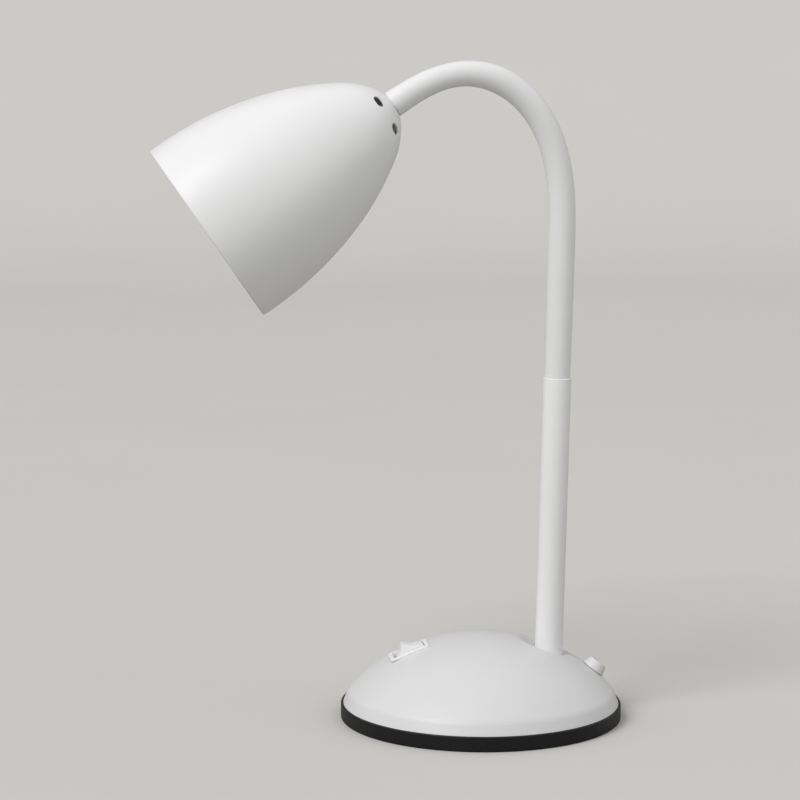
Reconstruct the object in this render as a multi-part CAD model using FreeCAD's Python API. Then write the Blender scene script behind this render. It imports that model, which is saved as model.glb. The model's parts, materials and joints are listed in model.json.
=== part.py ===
import FreeCAD
import Part
import math
import os

from FreeCAD import Placement, Rotation, Vector

# Gooseneck desk lamp. Millimetres and degrees, +Z up, origin on the table under the middle of
# the round base. The lamp's mid-plane is the XZ plane, and the shade reaches out towards -X.

# Round base
base_radius = 75.4
ring_bottom = 0.2
ring_top = 8.0
ring_edge_round = 0.5
ring_wall = 3.2
tray_floor_top = 3.2
pad_radius = 68.5
pad_thickness = 1.0
dome_height = 44.7
dome_arcs = ((102.0, 32.2), (77.0, 16.0), (7.0, 19.8))
cover_wall = 2.4
spigot_depth = 3.0
spigot_wall = 1.6

# Ballast and the screws that close the base
ballast_radius = 56.0
ballast_height = 8.0
ballast_chamfer = 1.5
ballast_screw_circle = 36.0
ballast_screw_angles = (60, 180, 300)
ballast_screw_radius = 2.0
ballast_head_radius = 3.8
boss_circle = 64.0
boss_angles = (45, 135, 225, 315)
boss_radius = 4.0
cover_screw_radius = 1.7
cover_head_radius = 3.4
cover_screw_length = 13.0
thread_fit = 0.02

# Dimple in the cover round the upright tube, and the flat seat in it for the tube's foot
stem_foot_x = 36.95
stem_lean = 1.35
dimple_bottom = 33.7
dimple_lean = 14.4
dimple_ball_radius = 34.0
dimple_lip_round = 9.0
seat_height = 30.8
seat_play = 0.1
seat_rim = 0.6

# Upright tube and its fastening
stem_radius = 7.5
stem_wall = 1.2
stem_top = 183.3
stem_chamfer = 0.6
plug_height = 14.0
thread_below_seat = 11.0
stem_washer_radius = 12.0
stem_washer_height = 2.0
pipe_thread_radius = 4.95
pipe_nut_bore = 5.0
pipe_hole_radius = 5.2
pipe_nut_across_flats = 14.0
pipe_nut_height = 3.0
lead_bore_radius = 3.0

# Gooseneck: heading turns from the upright tube to the shade along its length
neck_radius = 7.0
neck_length = 230.5
neck_straight_length = 69.55
neck_curve_rise = 0.64
neck_curve_fall = 0.24
first_joint_at = 12.0
last_joint_at = 220.0
joint_count = 16
joint_half_gap = 1.3
ball_radius = 6.0
socket_clearance = 0.2
ferrule_plug_depth = 22.0

# Shade
shade_drop_angle = 34.3
shade_depth = 117.3
shade_rim_radius = 51.6
shade_rim_flare = 1.9
shade_arcs = ((192.0, 18.0), (157.0, 17.5))
shade_nose_arc = 42.6
shade_wall = 0.8
nose_thickness = 1.9
rim_hem_radius = 0.8
shade_washer_radius = 8.5
shade_washer_height = 1.0
vent_length = 6.9
vent_width = 5.0
vent_places = ((24.5, 111.8), (-35.2, 111.0))

# Lampholder and lamp, measured along the shade's axis from the rim plane
holder_radius = 13.5
holder_top = 106.0
holder_split = 90.0
holder_mouth = 69.0
holder_wall = 1.5
insert_low = 85.5
insert_high = 94.0
contact_screw_offset = 7.0
contact_screw_radius = 1.25
contact_head_radius = 2.2
contact_head_height = 1.4
contact_leaf_length = 9.0
contact_leaf_width = 4.0
contact_leaf_thickness = 0.5
contact_dome_radius = 1.8
screw_shell_radius = 7.6
screw_shell_wall = 0.4
lamp_contact_at = 84.0
lamp_length = 78.0
lamp_globe_radius = 22.5
lamp_cap_radius = 6.9
lamp_cap_length = 19.5
lamp_thread_pitch = 2.82
globe_wall = 0.8
globe_joint_above_centre = 10.0
lamp_collar_waist = 12.5

# Rocker switch, in the cover on the shade's side
switch_centre_x = -39.15
switch_sink = 0.5
switch_slope = 21.2
bezel_length = 22.0
bezel_width = 15.0
bezel_height = 1.2
bezel_corner = 1.5
bezel_edge_round = 0.4
switch_body_length = 19.2
switch_body_width = 12.9
switch_body_depth = 13.0
switch_cavity_half_length = 8.85
switch_cavity_width = 11.6
switch_cavity_depth = 11.4
switch_blade_places = (-6.0, 0.0)
switch_blade_length = 7.0

# The rocker, measured from its pivot: a shallow V on top, sloping ends, a narrow underside
rocker_pivot_depth = 4.8
rocker_tilt = 20.3
rocker_width = 11.0
rocker_shoulder = (5.76, 8.9)
rocker_valley = 8.35
rocker_waist = (8.0, 0.6)
rocker_underside = (3.5, -2.2)
rocker_edge_round = 0.3
rocker_pin_radius = 1.0
pin_running_gap = 0.05
plunger_hole_radius = 1.5
plunger_radius = 1.4
plunger_tip = -3.9
plunger_top = -0.9
spring_top = 2.6
contact_pivot_depth = 9.6
contact_arm_tilt = 8.0
contact_arm_rise = 5.0
contact_arm_reach = 6.7
contact_arm_width = 3.4
contact_arm_thickness = 0.5
contact_arm_height = 0.3
contact_button_radius = 1.1
contact_button_place = -5.5

# Cord inlet at the back of the base
gland_centre_x = 61.4
gland_root_radius = 6.35
gland_tip_radius = 4.85
gland_height = 5.0
gland_tip_round = 0.6
gland_bore = 2.6
gland_shank_radius = 4.4
gland_collar_radius = 6.0
gland_collar_height = 2.0
clamp_screw_radius = 1.5
clamp_screw_places = ((44.0, -9.0), (44.0, 9.0))
clamp_height = 6.0
clamp_length = 26.0
clamp_width = 8.0
clamp_groove_radius = 3.4
clamp_screw_length = 11.0
clamp_head_radius = 2.8
clamp_head_height = 2.0

# Wiring inside
sheath_radius = 2.4
wire_radius = 1.0
block_centre = (4.0, 30.0)
block_size = (18.0, 14.0, 11.0)
block_channel_offset = 3.6
block_channel_height = 5.0
block_channel_radius = 1.7
terminal_well_radius = 1.6
terminal_well_depth = 4.5
terminal_screw_offset = 4.0
terminal_screw_radius = 1.2
terminal_head_radius = 1.5
block_screw_places = ((-2.0, 30.0), (10.0, 30.0))

mid_plane_normal = Vector(0, -1, 0)
up = Vector(0, 0, 1)
ballast_top = tray_floor_top + ballast_height
stem_length = (stem_top - seat_height) / math.cos(math.radians(stem_lean))


# Shared geometry helpers

def polar(length, heading):
    angle = math.radians(heading)
    return Vector(length * math.cos(angle), 0, length * math.sin(angle))


def turtle_arc(point, heading, radius, turn):
    """One arc in the XZ plane; a positive turn bends it to the left. Gives edge, end and heading."""
    middle = point + polar(2 * radius * math.sin(math.radians(abs(turn) / 4)), heading + turn / 4)
    end = point + polar(2 * radius * math.sin(math.radians(abs(turn) / 2)), heading + turn / 2)
    return Part.Arc(point, middle, end).toShape(), end, heading + turn


def arc_chain(point, heading, arcs):
    """Tangent arcs one after another, each given as (radius, turn)."""
    edges = []
    for radius, turn in arcs:
        edge, point, heading = turtle_arc(point, heading, radius, turn)
        edges.append(edge)
    return edges, point, heading


def line(a, b):
    return Part.makeLine(a, b)


def turned(edges):
    """The solid that a closed outline in the XZ plane makes when it spins about Z."""
    return Part.Face(Part.Wire(edges)).revolve(Vector(), up, 360)


def turned_polygon(points):
    corners = [Vector(r, 0, z) for r, z in points]
    edges = [line(a, b) for a, b in zip(corners, corners[1:] + corners[:1])]
    return turned(edges)


def rod(radius, z_from, z_to, x=0.0, y=0.0):
    return Part.makeCylinder(radius, z_to - z_from, Vector(x, y, z_from), up)


def pipe(outer, inner, z_from, z_to, x=0.0, y=0.0):
    return rod(outer, z_from, z_to, x, y).cut(rod(inner, z_from - 1, z_to + 1, x, y))


def rim_edges(solid, radius, height=None):
    """Circular edges of a turned solid at that radius, and at that height if one is given."""
    edges = [e for e in solid.Edges if abs(e.BoundBox.XMax - radius) < 0.01 and e.BoundBox.ZLength < 0.01]
    return [e for e in edges if height is None or abs(e.BoundBox.ZMax - height) < 0.01]


def block(length, width, z_from, z_to, corner=0.0):
    solid = Part.makeBox(length, width, z_to - z_from, Vector(-length / 2, -width / 2, z_from))
    if corner:
        upright = [e for e in solid.Edges if abs(e.BoundBox.ZLength - (z_to - z_from)) < 1e-6]
        solid = solid.makeFillet(corner, upright)
    return solid


def hexagon_nut(across_flats, bore, z_from, z_to):
    reach = across_flats / math.sqrt(3)
    corners = [Vector(reach * math.cos(math.radians(60 * k)), reach * math.sin(math.radians(60 * k)), z_from)
               for k in range(7)]
    body = Part.Face(Part.makePolygon(corners)).extrude(Vector(0, 0, z_to - z_from))
    return body.cut(rod(bore, z_from - 1, z_to + 1))


def countersunk_screw(radius, length, head_radius, z_head, x, y):
    """A screw that points up, its flat head at z_head."""
    head = Part.makeCone(head_radius, radius, head_radius - radius, Vector(x, y, z_head), up)
    shank = rod(radius, z_head + head_radius - radius - 0.1, z_head + length, x, y)
    slot = Part.makeBox(2 * head_radius, 0.8, 0.7, Vector(x - head_radius, y - 0.4, z_head))
    return head.fuse(shank).cut(slot)


def placed(shape, placement):
    moved = shape.copy()
    moved.Placement = placement.multiply(moved.Placement)
    return moved


def on_circle(radius, angles):
    return [(radius * math.cos(math.radians(a)), radius * math.sin(math.radians(a))) for a in angles]


def routed_tube(points, radius):
    """A tube whose path is straight runs joined by tangent arcs."""
    edges = []
    last = points[0]
    for before, corner, after in zip(points, points[1:], points[2:]):
        incoming = (corner - before).normalize()
        outgoing = (after - corner).normalize()
        turn = incoming.getAngle(outgoing)
        reach = 0.45 * min((corner - before).Length, (after - corner).Length)
        start = corner - incoming * reach
        end = corner + outgoing * reach
        bisector = (outgoing - incoming).normalize()
        bend = reach / math.tan(turn / 2)
        centre = corner + bisector * (bend / math.cos(turn / 2))
        middle = centre - bisector * bend
        edges.append(line(last, start))
        edges.append(Part.Arc(start, middle, end).toShape())
        last = end
    edges.append(line(last, points[-1]))
    return swept(edges, points[0], points[1] - points[0], radius)


def swept(edges, start, direction, radius):
    section = Part.Wire([Part.makeCircle(radius, start, direction)])
    return Part.Wire(edges).makePipeShell([section], True, False)


# Base: pad, tray, ballast and cover

def dome_solid(inset, bottom):
    """The dome down to a level: arcs from its crown, then a straight lip that keeps their slope."""
    crown = Vector(0, 0, dome_height - inset)
    edges, end, heading = arc_chain(crown, 0.0, [(radius - inset, -turn) for radius, turn in dome_arcs])
    foot = end + polar((end.z - bottom) / math.sin(math.radians(-heading)), heading)
    axis_foot = Vector(0, 0, bottom)
    return turned(edges + [line(end, foot), line(foot, axis_foot), line(axis_foot, crown)])


def dome_normal_angle(x):
    """Angle between the dome's outward normal and the vertical, at a distance from its middle."""
    first_radius, first_turn = dome_arcs[0]
    x = abs(x)
    if x <= first_radius * math.sin(math.radians(first_turn)):
        return math.degrees(math.asin(x / first_radius))
    second_radius = dome_arcs[1][0]
    shift = (first_radius - second_radius) * math.sin(math.radians(first_turn))
    return math.degrees(math.asin((x - shift) / second_radius))


def dome_surface(x):
    """Height of the dome's outer surface over a distance x from its middle."""
    angle = math.radians(dome_normal_angle(x))
    first_radius, first_turn = dome_arcs[0]
    turn = math.radians(first_turn)
    top = dome_height - first_radius
    if angle <= turn:
        return top + first_radius * math.cos(angle)
    second_radius = dome_arcs[1][0]
    return top + (first_radius - second_radius) * math.cos(turn) + second_radius * math.cos(angle)


def on_dome(x, sink, slope):
    """Placement at the dome's surface on the X axis, Z leaning outwards by the slope."""
    tilt = math.copysign(slope, x)
    normal = Vector(math.sin(math.radians(tilt)), 0, math.cos(math.radians(tilt)))
    return Placement(Vector(x, 0, dome_surface(x)) - normal * sink, Rotation(Vector(0, 1, 0), tilt))


def switch_placement():
    """In the switch's own frame Z points out of the dome, X uphill, and the origin is on its seat."""
    return on_dome(switch_centre_x, switch_sink, switch_slope)


def gland_placement():
    return on_dome(gland_centre_x, 0, dome_normal_angle(gland_centre_x))


def make_base_pad():
    return rod(pad_radius, 0, pad_thickness)


def make_base_tray():
    inner = base_radius - ring_wall
    tray = turned_polygon([
        (0, pad_thickness), (pad_radius + 0.3, pad_thickness), (pad_radius + 0.3, ring_bottom),
        (base_radius, ring_bottom), (base_radius, ring_top), (inner, ring_top),
        (inner, tray_floor_top), (0, tray_floor_top)])
    tray = tray.makeFillet(ring_edge_round, rim_edges(tray, base_radius))
    for x, y in on_circle(ballast_screw_circle, ballast_screw_angles):
        tray = tray.cut(screw_hole(ballast_screw_radius, ballast_head_radius, x, y))
    for x, y in on_circle(boss_circle, boss_angles):
        tray = tray.cut(screw_hole(cover_screw_radius, cover_head_radius, x, y))
    return tray


def screw_hole(radius, head_radius, x, y):
    """Countersunk hole through the tray's floor, open downwards."""
    depth = head_radius - radius
    cone = Part.makeCone(head_radius + 0.1, radius + 0.1, depth, Vector(x, y, pad_thickness), up)
    return cone.fuse(rod(radius + 0.1, pad_thickness + depth - 0.1, tray_floor_top + 1, x, y))


def make_ballast():
    disc = rod(ballast_radius, tray_floor_top, tray_floor_top + ballast_height)
    disc = disc.makeChamfer(ballast_chamfer, rim_edges(disc, ballast_radius, ballast_top))
    for x, y in on_circle(ballast_screw_circle, ballast_screw_angles):
        disc = disc.cut(rod(ballast_screw_radius + thread_fit, 0, 20, x, y))
    for x, y in clamp_screw_places + block_screw_places:
        disc = disc.cut(rod(clamp_screw_radius + thread_fit, tray_floor_top + 2, 20, x, y))
    return disc


def stem_placement():
    """Local Z runs up the upright tube's axis, from the seat in the cover."""
    return Placement(Vector(stem_foot_x, 0, seat_height), Rotation(Vector(0, 1, 0), stem_lean))


def dimple_centre():
    lean = math.radians(dimple_lean)
    axis = Vector(math.sin(lean), 0, math.cos(lean))
    return Vector(stem_foot_x, 0, dimple_bottom) + axis * dimple_ball_radius


def dimpled_dome():
    """Cover's outside: the dome with a ball-shaped dimple and a soft lip round it."""
    centre = dimple_centre()
    dome = dome_solid(0, ring_top).cut(Part.makeSphere(dimple_ball_radius, centre))
    lip = [edge for edge in dome.Edges if edge.Length > 3
           and all(abs(point.distanceToPoint(centre) - dimple_ball_radius) < 0.01
                   for point in edge.discretize(9))]
    return dome.makeFillet(dimple_lip_round, lip)


def make_base_cover():
    outer = dimpled_dome()
    ball = Part.makeSphere(dimple_ball_radius + cover_wall, dimple_centre())
    hollow = dome_solid(cover_wall, ring_top - 1).cut(ball)
    spigot_outer = base_radius - ring_wall - 0.2
    spigot = pipe(spigot_outer, spigot_outer - spigot_wall, ring_top - spigot_depth, ring_top + 1.5)
    for x, y in on_circle(boss_circle, boss_angles):
        spigot = spigot.cut(rod(boss_radius, 0, 30, x, y))
    shell = outer.cut(hollow).fuse(spigot)
    inside = dome_solid(cover_wall / 2, 0)

    seat = stem_placement()
    well = placed(rod(stem_washer_radius + seat_rim, -cover_wall, 12), seat)
    well = well.common(inside).cut(Part.makeSphere(dimple_ball_radius, dimple_centre()))
    shell = shell.fuse(well)
    shell = shell.cut(placed(rod(stem_radius + seat_play, 0, 40), seat))
    shell = shell.cut(placed(rod(pipe_hole_radius, -10, 10), seat))

    for x, y in on_circle(boss_circle, boss_angles):
        boss = rod(boss_radius, tray_floor_top, 40, x, y).common(inside)
        shell = shell.fuse(boss)
        shell = shell.cut(rod(cover_screw_radius, 0, tray_floor_top + cover_screw_length, x, y))

    switch_at = switch_placement()
    frame = block(bezel_length + 3, bezel_width + 3, -switch_sink - cover_wall, 3)
    shell = shell.fuse(placed(frame, switch_at).common(inside))
    seat_cut = block(bezel_length + 0.3, bezel_width + 0.3, 0, 10, bezel_corner + 0.1)
    body_cut = block(switch_body_length + 0.3, switch_body_width + 0.3, -20, 5)
    shell = shell.cut(placed(seat_cut, switch_at)).cut(placed(body_cut, switch_at))

    shell = shell.cut(placed(rod(gland_shank_radius, -10, 10), gland_placement()))
    return shell.removeSplitter()


# Fastenings of the base

def make_ballast_screws():
    length = ballast_top - pad_thickness - 1.5
    return Part.makeCompound([
        countersunk_screw(ballast_screw_radius, length, ballast_head_radius, pad_thickness, x, y)
        for x, y in on_circle(ballast_screw_circle, ballast_screw_angles)])


def make_cover_screws():
    radius = cover_screw_radius - thread_fit
    return Part.makeCompound([
        countersunk_screw(radius, cover_screw_length, cover_head_radius, pad_thickness, x, y)
        for x, y in on_circle(boss_circle, boss_angles)])


def pan_screw(radius, length, head_radius, head_height, x, y, z_seat):
    """A screw that points down, its head resting at z_seat."""
    head = rod(head_radius, z_seat, z_seat + head_height, x, y)
    shank = rod(radius, z_seat - length, z_seat + 0.1, x, y)
    slot_bottom = Vector(x - head_radius, y - 0.35, z_seat + head_height - 0.8)
    slot = Part.makeBox(2 * head_radius, 0.7, 0.8, slot_bottom)
    return head.fuse(shank).cut(slot)


# Cord inlet: a collared bush in the cover, and the clamp behind it

def make_cord_gland():
    """The root dips below the dome's highest spot so that no gap shows under its rim."""
    collar_top = -cover_wall - 0.9
    collar_low = collar_top - gland_collar_height
    shank = gland_shank_radius - 0.1
    outline = [
        (gland_bore, collar_low), (gland_collar_radius, collar_low),
        (gland_collar_radius, collar_top), (shank, collar_top), (shank, 0.1), (gland_root_radius, 0.1),
        (gland_root_radius, 0.5), (gland_tip_radius, gland_height), (gland_bore, gland_height)]
    bush = turned_polygon(outline)
    bush = bush.makeFillet(gland_tip_round, rim_edges(bush, gland_tip_radius))
    return placed(bush, gland_placement())


def make_cord_clamp():
    middle = clamp_screw_places[0][0]
    bar = Part.makeBox(clamp_width, clamp_length, clamp_height,
                       Vector(middle - clamp_width / 2, -clamp_length / 2, ballast_top))
    groove_start = Vector(middle - clamp_width, 0, ballast_top + 0.4)
    bar = bar.cut(Part.makeCylinder(clamp_groove_radius, 2 * clamp_width, groove_start, Vector(1, 0, 0)))
    for x, y in clamp_screw_places:
        bar = bar.cut(rod(clamp_screw_radius + 0.1, 0, 40, x, y))
    return bar


def make_clamp_screws():
    return Part.makeCompound([
        pan_screw(clamp_screw_radius, clamp_screw_length, clamp_head_radius, clamp_head_height,
                  x, y, ballast_top + clamp_height)
        for x, y in clamp_screw_places])


# Terminal block on the ballast

def make_terminal_block():
    x, y = block_centre
    length, width, height = block_size
    body = Part.makeBox(length, width, height, Vector(x - length / 2, y - width / 2, ballast_top))
    for side in (-1, 1):
        channel_x = x + side * block_channel_offset
        start = Vector(channel_x, y - width / 2 - 1, ballast_top + block_channel_height)
        body = body.cut(Part.makeCylinder(block_channel_radius, width + 2, start, Vector(0, 1, 0)))
        for end in (-1, 1):
            well_floor = ballast_top + height - terminal_well_depth
            body = body.cut(rod(terminal_well_radius, well_floor, well_floor + height,
                                channel_x, y + end * terminal_screw_offset))
    for hole_x, hole_y in block_screw_places:
        body = body.cut(rod(clamp_screw_radius + 0.1, 0, 40, hole_x + math.copysign(1.2, hole_x - x), hole_y))
    return body


def make_terminal_screws():
    x, y = block_centre
    screws = []
    for side in (-1, 1):
        for end in (-1, 1):
            screws.append(pan_screw(terminal_screw_radius, 1.8, terminal_head_radius, 1.4,
                                    x + side * block_channel_offset, y + end * terminal_screw_offset,
                                    ballast_top + block_size[2] - terminal_well_depth / 2))
    return Part.makeCompound(screws)


# Upright tube and what fixes it in the cover

def make_stem_tube():
    inner = stem_radius - stem_wall
    tube = turned_polygon([
        (inner, 0), (stem_radius, 0), (stem_radius, stem_length - stem_chamfer),
        (stem_radius - stem_chamfer, stem_length), (inner, stem_length)])
    return placed(tube, stem_placement())


def make_stem_plug():
    """Plug pressed into the tube's foot, with the pipe thread that goes through the cover."""
    inner = stem_radius - stem_wall
    plug = rod(inner - 0.01, 0, plug_height).fuse(rod(pipe_thread_radius, -thread_below_seat, 1))
    return placed(plug.cut(rod(lead_bore_radius, -20, 30)), stem_placement())


def make_stem_washer():
    low = -cover_wall - stem_washer_height
    return placed(pipe(stem_washer_radius, pipe_nut_bore + 0.2, low, -cover_wall), stem_placement())


def make_stem_nut():
    high = -cover_wall - stem_washer_height
    nut = hexagon_nut(pipe_nut_across_flats, pipe_nut_bore, high - pipe_nut_height, high)
    return placed(nut, stem_placement())


# Gooseneck: stations along its centre line, then the links between them

def neck_turned_so_far(distance):
    """Degrees that the centre line has turned at a distance along it: straight, then bending
    more and more, then easing off just before the shade."""
    rise, fall = neck_curve_rise, neck_curve_fall
    t = (distance - neck_straight_length) / (neck_length - neck_straight_length)
    whole = 1 - rise / 2 - fall / 2
    if t <= 0:
        part = 0.0
    elif t < rise:
        part = t * t / (2 * rise)
    elif t < 1 - fall:
        part = rise / 2 + t - rise
    else:
        part = whole - (1 - t) ** 2 / (2 * fall)
    return neck_turn_total * part / whole


neck_start_heading = 90.0 - stem_lean
neck_turn_total = 180.0 + shade_drop_angle - neck_start_heading
joint_spacing = (last_joint_at - first_joint_at) / (joint_count - 1)
neck_stations = [0.0] + [first_joint_at + joint_spacing * k for k in range(joint_count)] + [neck_length]


def neck_frames():
    """Point and heading of the centre line at each station."""
    start = stem_placement().multVec(Vector(0, 0, stem_length))
    frames = [(start, neck_start_heading)]
    for near, far in zip(neck_stations, neck_stations[1:]):
        point, heading = frames[-1]
        turn = neck_turned_so_far(far) - neck_turned_so_far(near)
        chord = far - near
        if turn > 0:
            chord *= math.sin(math.radians(turn / 2)) / math.radians(turn / 2)
        frames.append((point + polar(chord, heading + turn / 2), heading + turn))
    return frames


def bent_bar(frame, length, turn, radius, trim_start, trim_end):
    """A round bar along one stretch of the centre line, shortened at each end by a trim."""
    point, heading = frame
    if turn < 0.2:
        direction = polar(1, heading + turn / 2)
        start = point + direction * trim_start
        return Part.makeCylinder(radius, length - trim_start - trim_end, start, direction)
    bend = length / math.radians(turn)
    centre = point + polar(bend, heading + 90)
    first = heading + turn * trim_start / length
    start = centre + polar(bend, first - 90)
    disc = Part.Face(Part.Wire([Part.makeCircle(radius, start, polar(1, first))]))
    return disc.revolve(centre, mid_plane_normal, turn * (length - trim_start - trim_end) / length)


def neck_stretch(index):
    length = neck_stations[index + 1] - neck_stations[index]
    turn = neck_turned_so_far(neck_stations[index + 1]) - neck_turned_so_far(neck_stations[index])
    return length, turn


def make_neck_link(frames, index):
    """Link between two joints: socket at its lower end, ball at its upper end, bored for the lead."""
    length, turn = neck_stretch(index)
    bar = bent_bar(frames[index], length, turn, neck_radius, joint_half_gap, joint_half_gap)
    bar = bar.cut(Part.makeSphere(ball_radius + socket_clearance, frames[index][0]))
    bar = bar.fuse(Part.makeSphere(ball_radius, frames[index + 1][0], Vector(0, 1, 0)))
    return bar.cut(bent_bar(frames[index], length, turn, lead_bore_radius, -8.0, -8.0))


def make_lower_ferrule(frames):
    """Crimped end of the gooseneck: plugged into the tube, first ball on top."""
    length, turn = neck_stretch(0)
    start, heading = frames[0]
    direction = polar(1, heading)
    plug = Part.makeCylinder(stem_radius - stem_wall - 0.01, ferrule_plug_depth,
                             start - direction * ferrule_plug_depth, direction)
    collar = Part.makeCylinder(neck_radius, length - joint_half_gap, start, direction)
    body = plug.fuse(collar).fuse(Part.makeSphere(ball_radius, frames[1][0]))
    bore = Part.makeCylinder(lead_bore_radius, ferrule_plug_depth + length + 20,
                             start - direction * (ferrule_plug_depth + 5), direction)
    return body.cut(bore)


def make_upper_ferrule(frames):
    """Last socket, the shoulder that the shade hangs on, and the pipe thread through the shade."""
    index = len(frames) - 2
    length, turn = neck_stretch(index)
    body = bent_bar(frames[index], length, turn, neck_radius, joint_half_gap, 0)
    body = body.cut(Part.makeSphere(ball_radius + socket_clearance, frames[index][0], Vector(0, 1, 0)))
    thread = placed(rod(pipe_thread_radius, holder_top - 6, shade_depth + 1), head_placement(frames))
    body = body.fuse(thread)
    end, heading = frames[-1]
    direction = polar(1, heading)
    return body.cut(Part.makeCylinder(lead_bore_radius, 60, end - direction * 20, direction))


# Shade, in its own frame: Z from the rim's plane to the nose, the photographed side at -Y

def head_placement(frames):
    end, heading = frames[-1]
    return Placement(end + polar(shade_depth, heading), Rotation(Vector(0, 1, 0), 90 - shade_drop_angle))


def shade_outline(inset):
    """Outline from the rim to the axis: two long arcs, then the nose."""
    start = Vector(shade_rim_radius - inset, 0, 0)
    arcs = [(radius - inset, turn) for radius, turn in shade_arcs]
    edges, point, heading = arc_chain(start, 90 - shade_rim_flare, arcs)
    radius = shade_nose_arc - inset
    centre = point + polar(radius, heading + 90)
    crossing = math.degrees(math.acos(-centre.x / radius))
    nose, tip, _ = turtle_arc(point, heading, radius, crossing - (heading - 90))
    return edges + [nose], start, tip


def shade_solid(inset):
    edges, start, tip = shade_outline(inset)
    return turned(edges + [line(Vector(0, 0, tip.z), Vector()), line(Vector(), start)])


def nose_arc_centre():
    _, point, heading = arc_chain(Vector(shade_rim_radius, 0, 0), 90 - shade_rim_flare, shade_arcs)
    return point + polar(shade_nose_arc, heading + 90)


def vent_cutter(angle, station, side):
    """A rounded slot through the shade, square to its surface."""
    centre = nose_arc_centre()
    slope = math.degrees(math.asin((station - centre.z) / shade_nose_arc))
    radius = centre.x + shade_nose_arc * math.cos(math.radians(slope))
    half = (vent_length - vent_width) / 2
    bar = Part.makeBox(vent_width, 2 * half, 8, Vector(-vent_width / 2, -half, -4))
    for end in (-half, half):
        bar = bar.fuse(rod(vent_width / 2, -4, 4, 0, end))
    lean = Placement(Vector(radius, 0, station), Rotation(Vector(0, 1, 0), 90 - slope))
    around = Placement(Vector(), Rotation(up, side * (90 + angle)))
    return placed(placed(bar, lean), around)


def make_shade(head):
    reach = 1.5 * shade_rim_radius
    shell = shade_solid(0).common(rod(reach, 0, shade_depth))
    shell = shell.cut(shade_solid(shade_wall).common(rod(reach, -1, shade_depth - nose_thickness)))
    hem = Part.makeTorus(shade_rim_radius - rim_hem_radius, rim_hem_radius, Vector(0, 0, rim_hem_radius), up)
    shell = shell.fuse(hem).cut(rod(pipe_hole_radius, shade_depth / 2, shade_depth + 5))
    for side in (-1, 1):
        for angle, station in vent_places:
            shell = shell.cut(vent_cutter(angle, station, side))
    return placed(shell, head)


def make_shade_washer(head):
    inner_face = shade_depth - nose_thickness
    washer = pipe(shade_washer_radius, pipe_nut_bore + 0.2, inner_face - shade_washer_height, inner_face)
    return placed(washer, head)


def make_shade_nut(head):
    top = shade_depth - nose_thickness - shade_washer_height
    return placed(hexagon_nut(pipe_nut_across_flats, pipe_nut_bore, top - pipe_nut_height, top), head)


# Lampholder

def make_holder_cap(head):
    cap = turned_polygon([
        (pipe_nut_bore, holder_top), (holder_radius - 3.0, holder_top), (holder_radius, holder_top - 3.0),
        (holder_radius, holder_split), (holder_radius - holder_wall, holder_split),
        (holder_radius - holder_wall, holder_top - 4.0), (pipe_nut_bore, holder_top - 4.0)])
    return placed(cap, head)


def make_holder_shell(head):
    inner = holder_radius - 2 * holder_wall
    step = holder_radius - holder_wall
    shell = turned_polygon([
        (step - 0.05, holder_split + 5), (step - 0.05, holder_split), (holder_radius, holder_split),
        (holder_radius - 0.8, holder_mouth + 1), (holder_radius - 1.6, holder_mouth),
        (inner, holder_mouth), (inner, holder_split + 5)])
    return placed(shell, head)


def make_holder_insert(head):
    radius = holder_radius - 2 * holder_wall - 0.05
    body = rod(radius, insert_low, insert_high)
    for side in (-1, 1):
        y = side * contact_screw_offset
        body = body.cut(rod(contact_screw_radius + 0.05, insert_low - 1, insert_high + 1, 0, y))
    return placed(body, head)


def make_centre_contact(head):
    low = insert_low - contact_leaf_thickness
    corner = Vector(-contact_leaf_width / 2, -contact_leaf_length / 2, low)
    leaf = Part.makeBox(contact_leaf_width, contact_leaf_length, contact_leaf_thickness, corner)
    dome = rod(contact_dome_radius, low - 0.9, low + 0.1)
    return placed(leaf.fuse(dome), head)


def make_screw_shell(head):
    inner = screw_shell_radius - screw_shell_wall
    return placed(pipe(screw_shell_radius, inner, holder_mouth + 1.0, insert_low - 0.6), head)


def make_contact_screws(head):
    screws = []
    for side in (-1, 1):
        y = side * contact_screw_offset
        shank = rod(contact_screw_radius, insert_low + 1, insert_high, 0, y)
        head_top = insert_high + contact_head_height
        screws.append(shank.fuse(rod(contact_head_radius, insert_high, head_top, 0, y)))
    return placed(Part.makeCompound(screws), head)


# Lamp: screw cap, plastic collar and opal globe

def make_lamp_cap(head):
    pitch = lamp_thread_pitch
    bottom = lamp_contact_at - lamp_cap_length
    outline = [(0, lamp_contact_at), (2.4, lamp_contact_at - 0.6), (2.6, lamp_contact_at - 1.6),
               (lamp_cap_radius - 1.2, lamp_contact_at - 3.2)]
    for turn in range(4):
        crest = lamp_contact_at - 4.2 - turn * pitch
        outline.append((lamp_cap_radius, crest))
        outline.append((lamp_cap_radius - 0.6, crest - pitch / 2))
    outline += [(lamp_cap_radius, bottom), (0, bottom)]
    return placed(turned_polygon(outline), head)


def lamp_globe_centre():
    return lamp_contact_at - lamp_length + lamp_globe_radius


def make_lamp_collar(head):
    top = lamp_contact_at - lamp_cap_length
    joint = lamp_globe_centre() + globe_joint_above_centre
    narrow = Vector(lamp_cap_radius + 1.4, 0, top)
    wide = Vector(math.sqrt(lamp_globe_radius ** 2 - globe_joint_above_centre ** 2), 0, joint)
    flank = Part.Arc(narrow, Vector(lamp_collar_waist, 0, (top + joint) / 2 + 1), wide).toShape()
    axis_top = Vector(0, 0, top)
    axis_low = Vector(0, 0, joint)
    edges = [line(axis_top, narrow), flank, line(wide, axis_low), line(axis_low, axis_top)]
    return placed(turned(edges), head)


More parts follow.
